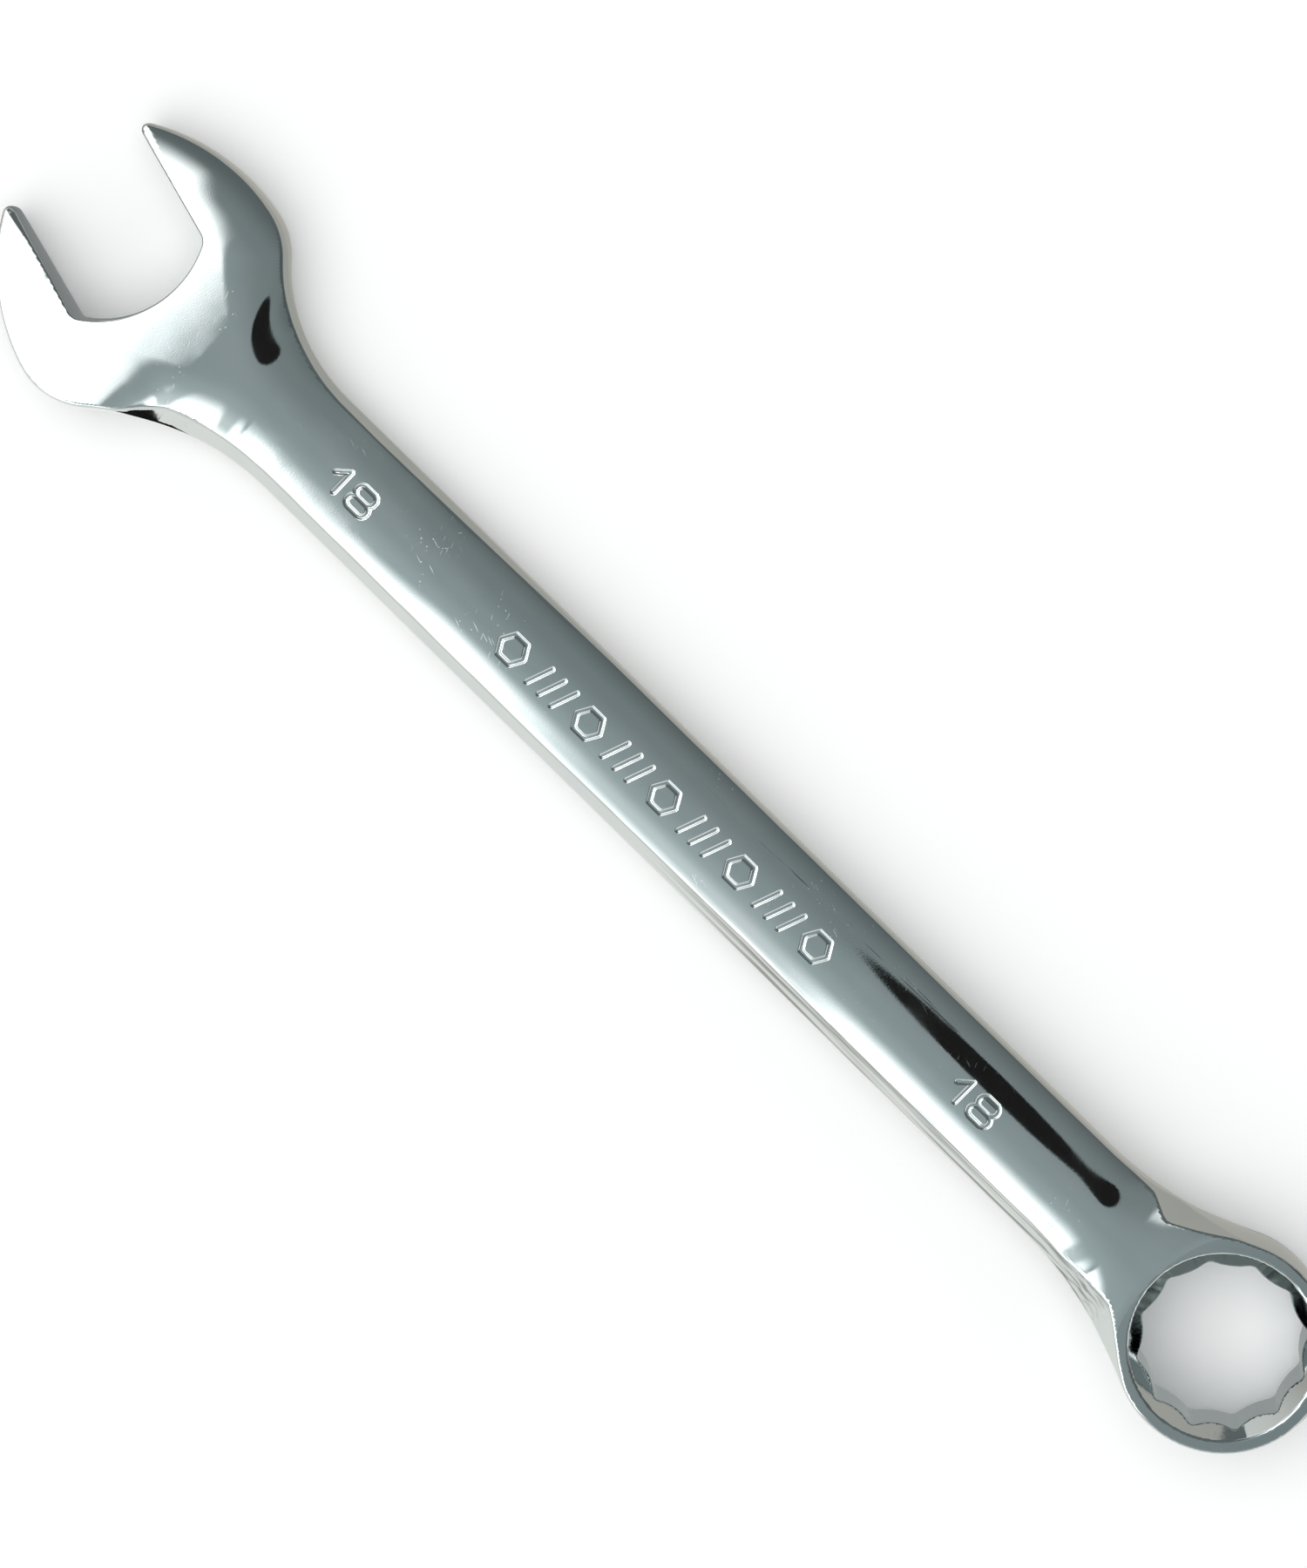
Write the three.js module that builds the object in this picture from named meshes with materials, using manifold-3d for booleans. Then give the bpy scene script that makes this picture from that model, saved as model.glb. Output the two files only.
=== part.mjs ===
// Combination wrench, 18 mm: one forging, with an open end and a twelve-point ring end.
//
// Millimetres. +X runs along the shank from the open end to the ring, +Z is up out of the faces,
// and z = 0 is the surface that both heads rest on. The origin is the middle of the wrench's
// length and width on that surface.
//
// The forging is modelled as three zones that meet on flat planes across the shank: the open
// end with its neck, the plain shank, and the ring end with its neck.

import * as THREE from "three";
import { mergeVertices } from "three/addons/utils/BufferGeometryUtils.js";
import Module from "manifold-3d";

const wasm = await Module();
wasm.setup();

// ---------------------------------------------------------------- driving dimensions

const OVERALL_LENGTH = 218;

// Shank: a flat bar with slightly crowned faces.
const SHANK_HALF_WIDTH = 7.6;
const SHANK_SIDE_HEIGHT = 5.2; // height of its straight side walls
const SHANK_THICKNESS = 7.1; // over the crowns, on the centre line

// Open end. Its plan is symmetric about the mouth's axis, which is turned from the shank's.
const JAW_GAP = 18.3;
const JAW_ANGLE = THREE.MathUtils.degToRad(15.9);
const HEAD_SPACING = 185.9; // centre of the open end to the ring's centre, along X
const HEAD_OFFSET = 0.4; // centre of the open end from the shank's axis, along Y
const HEAD_THICKNESS = 8;
const HEAD_SIDE_HEIGHT = 5.8;
const HEAD_HALF_WIDTH = 18.6; // across the mouth's axis
const HEAD_WIDEST = 2.9; // where that width would be, along the mouth's axis
const FLANK_RADIUS = 26.7; // outer side of each jaw, from its tip back
const FLANK_END = THREE.MathUtils.degToRad(4.2); // how far short of the widest place it ends
const SHOULDER_RADIUS = 10.3; // from the flank round towards the neck
const TIP_RADIUS = 0.9;
const THROAT_RADIUS = 13.4; // floor of the mouth
const THROAT_DEPTH = 3.3; // deepest place of the mouth, past the head's centre
const THROAT_CORNER = 1.6; // fillet between the floor and each jaw face
const UPPER_NECK_RADIUS = 23.8; // concave side towards +Y
const LOWER_NECK_RADIUS = 36; // concave side towards -Y
const OPEN_CUT_X = -60; // where the open end's zone stops

// Ring end.
const RING_RADIUS = 13.5; // largest, at half height
const RING_FACE_RADIUS = 12.9; // outer edge of its flat faces
const RING_EDGE_RADIUS = 13.2; // where its slightly barrelled wall turns in to a face
const RING_EDGE_HEIGHT = 0.8; // of that turn, from the face
const RING_THICKNESS = 11.5;
const RING_NECK_RADIUS = 50; // concave sides between shank and ring
const RING_RAMP = 8; // length over which the faces rise to the ring's
const RING_CUT_X = 64; // where the ring end's zone starts
const BORE_ACROSS_FLATS = 18.3;
const BORE_POINTS = 12;
const BORE_TURN = THREE.MathUtils.degToRad(-6.5); // of a corner, from +X
const BORE_MOUTH_RADIUS = 11.65; // chamfer at each face
const BORE_CHAMFER_DEPTH = 2.3; // down to the tips of the twelve teeth

// How finely round and eased shapes are stepped.
const ARC_STEP = THREE.MathUtils.degToRad(9);
const CROWN_STEPS = 8;
const RING_STEPS = 60;
const NECK_STEPS = 5;

// Room that a cutting shape runs past what it cuts.
const PAST = 1;

const CHROME = { color: 0xb9c2c4, metalness: 1, roughness: 0.12 };

// ---------------------------------------------------------------- places

const ringX = OVERALL_LENGTH / 2 - RING_RADIUS;
const headX = ringX - HEAD_SPACING;
const shankMidAtOpenEnd = HEAD_THICKNESS / 2;
const shankMidAtRing = RING_THICKNESS / 2;

// The mouth's axis points from the mouth in towards the shank; "across" is square to it.
const mouthAxis = new THREE.Vector2(Math.cos(JAW_ANGLE), -Math.sin(JAW_ANGLE));
const acrossAxis = new THREE.Vector2(Math.sin(JAW_ANGLE), Math.cos(JAW_ANGLE));

// A point of the open end's own plan, in the wrench's frame.
function headPoint(along, across) {
  return new THREE.Vector2(headX, HEAD_OFFSET)
    .addScaledVector(mouthAxis, along)
    .addScaledVector(acrossAxis, across);
}

// ---------------------------------------------------------------- plan outlines

// Points of an arc from one angle to another, both ends included.
function arc(centre, radius, from, to) {
  const steps = Math.max(2, Math.ceil(Math.abs(to - from) / ARC_STEP));
  const points = [];
  for (let i = 0; i <= steps; i++) {
    const angle = from + ((to - from) * i) / steps;
    points.push(new THREE.Vector2(
      centre.x + radius * Math.cos(angle),
      centre.y + radius * Math.sin(angle),
    ));
  }
  return points;
}

function angleTo(centre, point) {
  return Math.atan2(point.y - centre.y, point.x - centre.x);
}

// The neck's concave arc, tangent to the shank's edge and to a round of the given centre.
// side is +1 for the edge towards +Y and -1 for the other; towards is the sign of the arc's
// centre, along X from that round.
function neckCentre(round, roundRadius, neckRadius, side, towards) {
  const y = side * (SHANK_HALF_WIDTH + neckRadius);
  const reach = roundRadius + neckRadius;
  const x = round.x + towards * Math.sqrt(reach ** 2 - (y - round.y) ** 2);
  return new THREE.Vector2(x, y);
}

// Half of the open end's outline, on the side given by +1 or -1: from the throat's floor, along
// the jaw face, round the tip, back along the flank and shoulder, and through the neck.
function openEndHalf(side, neckRadius) {
  const jawFace = JAW_GAP / 2;
  const throatAlong = THROAT_DEPTH - THROAT_RADIUS;
  const cornerAcross = jawFace - THROAT_CORNER;
  const cornerAlong = throatAlong + Math.sqrt((THROAT_RADIUS - THROAT_CORNER) ** 2 - cornerAcross ** 2);
  const flankAcross = HEAD_HALF_WIDTH - FLANK_RADIUS;
  const tipAcross = jawFace + TIP_RADIUS;
  const tipAlong = HEAD_WIDEST
    - Math.sqrt((FLANK_RADIUS - TIP_RADIUS) ** 2 - (tipAcross - flankAcross) ** 2);
  const cornerTurn = Math.atan2(cornerAcross, cornerAlong - throatAlong);
  const flankTurn = Math.atan2(tipAcross - flankAcross, tipAlong - HEAD_WIDEST);

  const flankTo = Math.PI / 2 + FLANK_END;
  const flank = new THREE.Vector2(HEAD_WIDEST, flankAcross);

  // In the head's own plan, with across measured towards this side.
  const local = [
    ...arc(new THREE.Vector2(throatAlong, 0), THROAT_RADIUS, 0, cornerTurn),
    ...arc(new THREE.Vector2(cornerAlong, cornerAcross), THROAT_CORNER, cornerTurn, Math.PI / 2),
    ...arc(new THREE.Vector2(tipAlong, tipAcross), TIP_RADIUS, 1.5 * Math.PI, flankTurn),
    ...arc(flank, FLANK_RADIUS, flankTurn, flankTo).slice(1),
  ];
  const points = local.map((p) => headPoint(p.x, side * p.y));

  // The shoulder and the neck, in the wrench's frame.
  const inset = FLANK_RADIUS - SHOULDER_RADIUS;
  const shoulder = headPoint(
    HEAD_WIDEST + inset * Math.cos(flankTo),
    side * (flankAcross + inset * Math.sin(flankTo)),
  );
  const neck = neckCentre(shoulder, SHOULDER_RADIUS, neckRadius, side, 1);
  const shoulderStart = angleTo(shoulder, points.at(-1));
  points.push(...arc(shoulder, SHOULDER_RADIUS, shoulderStart, angleTo(shoulder, neck)).slice(1));
  points.push(...arc(neck, neckRadius, angleTo(neck, shoulder), -side * Math.PI / 2).slice(1));
  points.push(new THREE.Vector2(OPEN_CUT_X, side * SHANK_HALF_WIDTH));
  return points;
}

function openEndPlan() {
  const upper = openEndHalf(1, UPPER_NECK_RADIUS);
  const lower = openEndHalf(-1, LOWER_NECK_RADIUS).slice(1).reverse();
  return new THREE.Shape([...upper, ...lower]);
}

// The ring end's neck, from the cut across the shank to the ring's centre.
function ringNeckPlan() {
  const ring = new THREE.Vector2(ringX, 0);
  const sides = [1, -1].map((side) => {
    const neck = neckCentre(ring, RING_RADIUS, RING_NECK_RADIUS, side, -1);
    const turn = angleTo(neck, ring);
    return [
      new THREE.Vector2(RING_CUT_X, side * SHANK_HALF_WIDTH),
      ...arc(neck, RING_NECK_RADIUS, -side * Math.PI / 2, turn),
    ];
  });
  return new THREE.Shape([...sides[0], ring, ...sides[1].reverse()]);
}

// Corners and teeth of the bore in turn: two hexagons, one turned by half a corner's pitch.
function borePlan() {
  const toothRadius = BORE_ACROSS_FLATS / 2 / Math.cos(Math.PI / BORE_POINTS);
  const cornerRadius = BORE_ACROSS_FLATS / 2 / Math.cos(Math.PI / 6);
  const points = [];
  for (let i = 0; i < 2 * BORE_POINTS; i++) {
    const radius = i % 2 === 0 ? cornerRadius : toothRadius;
    const angle = BORE_TURN + (i * Math.PI) / BORE_POINTS;
    points.push(new THREE.Vector2(radius * Math.cos(angle), radius * Math.sin(angle)));
  }
  return new THREE.Shape(points);
}

// ---------------------------------------------------------------- solids

// A closed manifold-3d solid from a closed three.js geometry.
function solidFrom(geometry) {
  const bare = geometry.clone();
  bare.deleteAttribute("normal");
  bare.deleteAttribute("uv");
  const merged = mergeVertices(bare, 1e-5);
  return new wasm.Manifold(new wasm.Mesh({
    numProp: 3,
    vertProperties: new Float32Array(merged.attributes.position.array),
    triVerts: new Uint32Array(merged.index.array),
  }));
}

function geometryFrom(solid) {
  const mesh = solid.getMesh();
  const geometry = new THREE.BufferGeometry();
  geometry.setAttribute("position", new THREE.BufferAttribute(mesh.vertProperties, 3));
  geometry.setIndex(new THREE.BufferAttribute(mesh.triVerts, 1));
  return geometry;
}

// A plan outline stood up as a straight prism from one height to another.
function prism(plan, low, high) {
  const geometry = new THREE.ExtrudeGeometry(plan, { depth: high - low, bevelEnabled: false });
  return geometry.translate(0, 0, low);
}

// A bar with crowned faces through a row of stations. Each station gives its place x, the
// height mid of its centre line, its half width, the height of its side walls and its
// thickness on the centre line.
function crownedBar(stations) {
  const perFace = CROWN_STEPS + 1;
  const positions = [];
  for (const { x, mid, halfWidth, sideHeight, thickness } of stations) {
    for (const face of [1, -1]) {
      for (let i = 0; i < perFace; i++) {
        const across = face * (1 - (2 * i) / CROWN_STEPS);
        const height = sideHeight + (thickness - sideHeight) * (1 - across ** 2);
        positions.push(x, halfWidth * across, mid + (face * height) / 2);
      }
    }
  }

  const ring = 2 * perFace;
  const triangles = [];
  for (let s = 0; s + 1 < stations.length; s++) {
    for (let i = 0; i < ring; i++) {
      const a = s * ring + i;
      const b = s * ring + ((i + 1) % ring);
      triangles.push(a, b, a + ring, b, b + ring, a + ring);
    }
  }
  const last = (stations.length - 1) * ring;
  for (let i = 1; i + 1 < ring; i++) {
    triangles.push(0, i + 1, i);
    triangles.push(last, last + i, last + i + 1);
  }

  const geometry = new THREE.BufferGeometry();
  geometry.setAttribute("position", new THREE.Float32BufferAttribute(positions, 3));
  geometry.setIndex(triangles);
  return geometry;
}

// The centre line's height: level with each head's own middle, and straight along the shank.
function midHeight(x) {
  const share = THREE.MathUtils.clamp((x - OPEN_CUT_X) / (RING_CUT_X - OPEN_CUT_X), 0, 1);
  return THREE.MathUtils.lerp(shankMidAtOpenEnd, shankMidAtRing, share);
}

function shankStation(x) {
  return {
    x,
    mid: midHeight(x),
    halfWidth: SHANK_HALF_WIDTH,
    sideHeight: SHANK_SIDE_HEIGHT,
    thickness: SHANK_THICKNESS,
  };
}

// A station part of the way from one section to another, eased at both ends.
function stationBetween(from, to, share) {
  const eased = THREE.MathUtils.smoothstep(share, 0, 1);
  return {
    x: THREE.MathUtils.lerp(from.x, to.x, share),
    mid: to.mid,
    halfWidth: THREE.MathUtils.lerp(from.halfWidth, to.halfWidth, eased),
    sideHeight: THREE.MathUtils.lerp(from.sideHeight, to.sideHeight, eased),
    thickness: THREE.MathUtils.lerp(from.thickness, to.thickness, eased),
  };
}

// A crowned slab over the head that changes down the neck to the shank's section, cut to plan.
function openEnd() {
  const shank = shankStation(OPEN_CUT_X);
  const head = {
    x: headX + HEAD_WIDEST + SHOULDER_RADIUS / 2,
    mid: shankMidAtOpenEnd,
    halfWidth: HEAD_HALF_WIDTH + PAST,
    sideHeight: HEAD_SIDE_HEIGHT,
    thickness: HEAD_THICKNESS,
  };
  const stations = [{ ...head, x: -OVERALL_LENGTH / 2 - PAST }];
  for (let i = 0; i <= NECK_STEPS; i++) {
    stations.push(stationBetween(head, shank, i / NECK_STEPS));
  }
  const slab = solidFrom(crownedBar(stations));
  const plan = solidFrom(prism(openEndPlan(), -PAST, HEAD_THICKNESS + PAST));
  return slab.intersect(plan);
}

// The neck rises in a ramp to the ring's faces; the ring is turned, then bored and chamfered.
function ringEnd() {
  const shank = { ...shankStation(RING_CUT_X), halfWidth: RING_RADIUS + PAST };
  const rampEnd = {
    ...shank,
    x: ringX - RING_FACE_RADIUS,
    sideHeight: RING_THICKNESS - 2 * RING_EDGE_HEIGHT,
    thickness: RING_THICKNESS,
  };
  const rampStart = { ...shank, x: rampEnd.x - RING_RAMP };
  const stations = [shankStation(RING_CUT_X)];
  for (let i = 0; i <= NECK_STEPS; i++) {
    stations.push(stationBetween(rampStart, rampEnd, i / NECK_STEPS));
  }
  stations.push({ ...rampEnd, x: ringX });
  const neck = solidFrom(crownedBar(stations))
    .intersect(solidFrom(prism(ringNeckPlan(), -PAST, RING_THICKNESS + PAST)));

  const body = turned([
    [RING_FACE_RADIUS, 0],
    [RING_EDGE_RADIUS, RING_EDGE_HEIGHT],
    [RING_RADIUS, RING_THICKNESS / 2],
    [RING_EDGE_RADIUS, RING_THICKNESS - RING_EDGE_HEIGHT],
    [RING_FACE_RADIUS, RING_THICKNESS],
  ]);
  const bore = solidFrom(prism(borePlan(), -PAST, RING_THICKNESS + PAST).translate(ringX, 0, 0));
  return neck.add(body).subtract(bore).subtract(chamfer(0, 1)).subtract(chamfer(RING_THICKNESS, -1));
}

// A solid of revolution about the ring's axis, from radii and heights in rising order.
function turned(rows) {
  const profile = [
    new THREE.Vector2(0, rows[0][1]),
    ...rows.map(([radius, height]) => new THREE.Vector2(radius, height)),
    new THREE.Vector2(0, rows.at(-1)[1]),
  ];
  const geometry = new THREE.LatheGeometry(profile, RING_STEPS);
  return solidFrom(geometry.rotateX(Math.PI / 2).translate(ringX, 0, 0));
}

// The cone that breaks the bore's edge at a face; inward is the sign of the way into the ring.
function chamfer(faceHeight, inward) {
  const toothRadius = BORE_ACROSS_FLATS / 2 / Math.cos(Math.PI / BORE_POINTS);
  const slope = (BORE_MOUTH_RADIUS - toothRadius) / BORE_CHAMFER_DEPTH;
  const rows = [
    [BORE_MOUTH_RADIUS + slope * PAST, faceHeight - inward * PAST],
    [toothRadius, faceHeight + inward * BORE_CHAMFER_DEPTH],
  ];
  return turned(inward > 0 ? rows : rows.reverse());
}

// ---------------------------------------------------------------- the wrench

function zone(name, geometry) {
  const mesh = new THREE.Mesh(geometry, new THREE.MeshStandardMaterial(CHROME));
  mesh.name = name;
  return mesh;
}

const wrench = new THREE.Group();
wrench.add(zone("open_end", geometryFrom(openEnd())));
wrench.add(zone("shank", crownedBar([shankStation(OPEN_CUT_X), shankStation(RING_CUT_X)])));
wrench.add(zone("ring_end", geometryFrom(ringEnd())));

export default wrench;
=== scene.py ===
# Looks of the 18 mm combination wrench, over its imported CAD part.
#
# The whole forging is one smooth body, described by a field that is negative inside the metal.
# A net of faces is laid over that body and drawn on to it, so that the chrome's reflections
# follow the true curvature. The shape is worked out in millimetres and built in metres.
# +X runs from the open end to the ring, +Z is up out of the faces, and the wrench lies on z = 0.

import math

import bpy
import numpy as np
from mathutils import Matrix, Vector


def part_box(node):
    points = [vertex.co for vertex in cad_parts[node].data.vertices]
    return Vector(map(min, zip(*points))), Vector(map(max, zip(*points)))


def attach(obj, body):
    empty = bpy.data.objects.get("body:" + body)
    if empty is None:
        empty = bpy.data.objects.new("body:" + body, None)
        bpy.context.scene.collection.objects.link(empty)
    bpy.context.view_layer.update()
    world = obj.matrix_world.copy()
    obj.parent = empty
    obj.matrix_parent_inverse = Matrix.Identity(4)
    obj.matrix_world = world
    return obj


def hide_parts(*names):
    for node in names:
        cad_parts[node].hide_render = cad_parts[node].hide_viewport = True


MM = 0.001

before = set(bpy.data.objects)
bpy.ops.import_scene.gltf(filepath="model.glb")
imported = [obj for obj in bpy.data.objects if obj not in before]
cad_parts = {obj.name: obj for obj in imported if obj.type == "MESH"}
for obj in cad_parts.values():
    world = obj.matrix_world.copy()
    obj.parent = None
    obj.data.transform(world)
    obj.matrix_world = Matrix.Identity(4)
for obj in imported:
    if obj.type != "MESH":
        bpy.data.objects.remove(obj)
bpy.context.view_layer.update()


def node_box(name):
    """Lowest and highest corner of a CAD node, in millimetres."""
    return [np.array(corner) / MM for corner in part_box(name)]


open_low, open_high = node_box("open_end")
shank_low, shank_high = node_box("shank")
ring_low, ring_high = node_box("ring_end")

# ---------------------------------------------------------------- driving dimensions, in mm

RING_RADIUS = (ring_high[1] - ring_low[1]) / 2
RING_THICKNESS = ring_high[2] - ring_low[2]
RING_X = ring_high[0] - RING_RADIUS
SHANK_HALF_WIDTH = (shank_high[1] - shank_low[1]) / 2
SHANK_START = shank_low[0]
SHANK_END = shank_high[0]
HEAD_THICKNESS = open_high[2] - open_low[2]

HEAD_SPACING = 185.9  # centre of the open end to the ring's centre
HEAD_X = RING_X - HEAD_SPACING
HEAD_Y = 0.4
JAW_GAP = 18.3
JAW_ANGLE = math.radians(15.9)  # of the mouth's axis, turned from the shank's towards -Y
HEAD_HALF_WIDTH = 18.54  # across the mouth's axis
HEAD_WIDEST = 2.9  # where that width would be, along the mouth's axis
FLANK_RADIUS = 26.7  # outer side of each jaw, from its tip back
FLANK_END = math.radians(4.2)  # how far short of the widest place it ends
SHOULDER_RADIUS = 10.3  # from the flank round towards the neck
TIP_RADIUS = 0.9
BEYOND_TIP = 4 * TIP_RADIUS  # how far the jaw face's line is drawn on past the tip
THROAT_RADIUS = 13.4  # floor of the mouth
THROAT_DEPTH = 3.3  # deepest place of the mouth, past the head's centre
THROAT_CORNER = 1.6  # fillet between the floor and each jaw face
UPPER_NECK_RADIUS = 23.8  # concave side towards +Y
LOWER_NECK_RADIUS = 36  # concave side towards -Y
RING_NECK_RADIUS = 50

BORE_HALF_FLATS = 9.15
BORE_TURN = math.radians(-6.5)
BORE_TOOTH_ROUND = 0.9
BORE_CORNER_ROUND = 0.5
BORE_MOUTH_RADIUS = 11.65
BORE_CHAMFER_SLOPE = 0.95  # how fast the chamfer's radius shrinks with depth

EDGE_ROUND = 0.35  # between walls and faces
SHARP_ROUND = 0.12  # where a cut leaves a crisp edge
FAR = 1000.0  # stands for "not beside this stretch"
HAIR = 1e-6  # by which stretches reach on, so that no gap is left between them


# ---------------------------------------------------------------- smooth joins

def smooth_min(a, b, reach):
    """The lower of two values, with the crossing rounded over that reach."""
    share = np.clip(0.5 + 0.5 * (b - a) / reach, 0, 1)
    return b + (a - b) * share - reach * share * (1 - share)


def smooth_max(a, b, reach):
    """The higher of two values, with the crossing rounded over that reach."""
    return -smooth_min(-a, -b, reach)


def eased(x, stations):
    """A value that eases from station to station; each station is a place and a value."""
    value = np.full_like(x, stations[0][1])
    for (from_x, from_value), (to_x, to_value) in zip(stations, stations[1:]):
        share = np.clip((x - from_x) / (to_x - from_x), 0, 1)
        value = value + (to_value - from_value) * share * share * (3 - 2 * share)
    return value


def straight(x, stations, rounding):
    """A value that runs straight from station to station, with its corners rounded a little."""
    places, values = zip(*stations)
    sides = np.interp(x - rounding, places, values) + np.interp(x + rounding, places, values)
    return np.interp(x, places, values) / 2 + sides / 4


# ---------------------------------------------------------------- plan outline

class Arc:
    """A round stretch of the outline. bulge is 1 where the metal is on its centre's side."""

    def __init__(self, centre, radius, start, end, bulge):
        self.centre = centre
        self.radius = radius
        self.middle = (start + end) / 2
        self.reach = abs(end - start) / 2 + HAIR
        self.bulge = bulge

    def distance(self, x, y):
        dx = x - self.centre[0]
        dy = y - self.centre[1]
        turn = (np.arctan2(dy, dx) - self.middle + math.pi) % (2 * math.pi) - math.pi
        away = self.bulge * (np.hypot(dx, dy) - self.radius)
        return np.where(np.abs(turn) <= self.reach, away, FAR)


class Line:
    """A straight stretch. side is 1 where the metal is to the right, going from start to end."""

    def __init__(self, start, end, side):
        self.start = np.array(start)
        step = np.array(end) - self.start
        self.length = math.hypot(*step)
        self.along = step / self.length
        self.side = side

    def distance(self, x, y):
        dx = x - self.start[0]
        dy = y - self.start[1]
        reach = dx * self.along[0] + dy * self.along[1]
        away = self.side * (dy * self.along[0] - dx * self.along[1])
        inside = (reach >= -HAIR) & (reach <= self.length + HAIR)
        return np.where(inside, away, FAR)


def nearest(stretches, x, y):
    """Distance to the nearest of the stretches, negative on the metal's side."""
    best = np.full(np.broadcast(x, y).shape, FAR)
    for stretch in stretches:
        distance = stretch.distance(x, y)
        best = np.where(np.abs(distance) < np.abs(best), distance, best)
    return best


def deep_if_far(distance):
    """The same distance, but deep inside the metal where no stretch lies beside the point."""
    return np.where(distance == FAR, -FAR, distance)


# Centres of the round stretches, measured along and across the mouth's axis from the head's.
JAW_FACE = JAW_GAP / 2
FLANK_ACROSS = HEAD_HALF_WIDTH - FLANK_RADIUS
TIP_ACROSS = JAW_FACE + TIP_RADIUS
TIP_TO_FLANK = FLANK_RADIUS - TIP_RADIUS
TIP_ALONG = HEAD_WIDEST - math.sqrt(TIP_TO_FLANK**2 - (TIP_ACROSS - FLANK_ACROSS) ** 2)

MOUTH_AXIS = np.array([math.cos(JAW_ANGLE), -math.sin(JAW_ANGLE)])
ACROSS_AXIS = np.array([math.sin(JAW_ANGLE), math.cos(JAW_ANGLE)])
HEAD_CENTRE = np.array([HEAD_X, HEAD_Y])


def head_point(along, across):
    """A point given along and across the mouth's axis from the head's centre."""
    return HEAD_CENTRE + along * MOUTH_AXIS + across * ACROSS_AXIS


def angle_to(centre, point):
    return math.atan2(point[1] - centre[1], point[0] - centre[0])


def arc_between(centre, radius, start_point, end_point, bulge):
    """The shorter arc of that circle between two of its points."""
    start = angle_to(centre, start_point)
    sweep = (angle_to(centre, end_point) - start + math.pi) % (2 * math.pi) - math.pi
    return Arc(centre, radius, start, start + sweep, bulge)


def neck_centre(round_centre, round_radius, neck_radius, side, towards):
    """Centre of the concave arc that is tangent to a round and to the shank's edge."""
    y = side * (SHANK_HALF_WIDTH + neck_radius)
    reach = round_radius + neck_radius
    x = round_centre[0] + towards * math.sqrt(reach**2 - (y - round_centre[1]) ** 2)
    return np.array([x, y])


def towards(start, end, distance):
    """The point that far from start, on the way to end."""
    step = np.array(end) - np.array(start)
    return np.array(start) + step * distance / math.hypot(*step)


def half_outline(side, neck_radius):
    """Stretches of the outer edge and of the mouth on one side, and the mouth's drawn-out line."""
    flank = head_point(HEAD_WIDEST, side * FLANK_ACROSS)
    tip = head_point(TIP_ALONG, side * TIP_ACROSS)
    tip_start = head_point(TIP_ALONG, side * JAW_FACE)
    tip_end = towards(flank, tip, FLANK_RADIUS)
    flank_to_shoulder = FLANK_RADIUS - SHOULDER_RADIUS
    shoulder = head_point(
        HEAD_WIDEST - flank_to_shoulder * math.sin(FLANK_END),
        side * (FLANK_ACROSS + flank_to_shoulder * math.cos(FLANK_END)),
    )
    flank_end = towards(flank, shoulder, FLANK_RADIUS)
    neck = neck_centre(shoulder, SHOULDER_RADIUS, neck_radius, side, 1)
    neck_start = towards(neck, shoulder, neck_radius)
    shank_start = np.array([neck[0], side * SHANK_HALF_WIDTH])
    ring = np.array([RING_X, 0.0])
    ring_neck = neck_centre(ring, RING_RADIUS, RING_NECK_RADIUS, side, -1)
    shank_end = np.array([ring_neck[0], side * SHANK_HALF_WIDTH])
    ring_start = towards(ring_neck, ring, RING_NECK_RADIUS)
    ring_end = ring + np.array([RING_RADIUS, 0.0])
    ring_sweep = angle_to(ring, ring_start)

    outer = [
        arc_between(tip, TIP_RADIUS, tip_start, tip_end, 1),
        arc_between(flank, FLANK_RADIUS, tip_end, flank_end, 1),
        arc_between(shoulder, SHOULDER_RADIUS, flank_end, neck_start, 1),
        arc_between(neck, neck_radius, neck_start, shank_start, -1),
        Line(shank_start, shank_end, side),
        arc_between(ring_neck, RING_NECK_RADIUS, shank_end, ring_start, -1),
        Arc(ring, RING_RADIUS, 0.0, ring_sweep, 1),
    ]

    throat_along = THROAT_DEPTH - THROAT_RADIUS
    corner_across = JAW_FACE - THROAT_CORNER
    throat_to_corner = THROAT_RADIUS - THROAT_CORNER
    corner_along = throat_along + math.sqrt(throat_to_corner**2 - corner_across**2)
    throat = head_point(throat_along, 0)
    corner = head_point(corner_along, side * corner_across)
    face_start = head_point(corner_along, side * JAW_FACE)
    corner_start = towards(throat, corner, THROAT_RADIUS)
    floor_middle = head_point(THROAT_DEPTH, 0)
    mouth = [
        arc_between(throat, THROAT_RADIUS, floor_middle, corner_start, -1),
        arc_between(corner, THROAT_CORNER, corner_start, face_start, -1),
        Line(face_start, tip_start, side),
    ]
    beyond_tip = head_point(TIP_ALONG - BEYOND_TIP, side * JAW_FACE)
    guide = mouth[:-1] + [Line(face_start, beyond_tip, side)]
    return outer, mouth, guide


upper_edge, upper_mouth, upper_guide = half_outline(1, UPPER_NECK_RADIUS)
lower_edge, lower_mouth, lower_guide = half_outline(-1, LOWER_NECK_RADIUS)
mouth_edge = upper_mouth + lower_mouth
mouth_guide = upper_guide + lower_guide


# ---------------------------------------------------------------- heights of the faces

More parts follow.
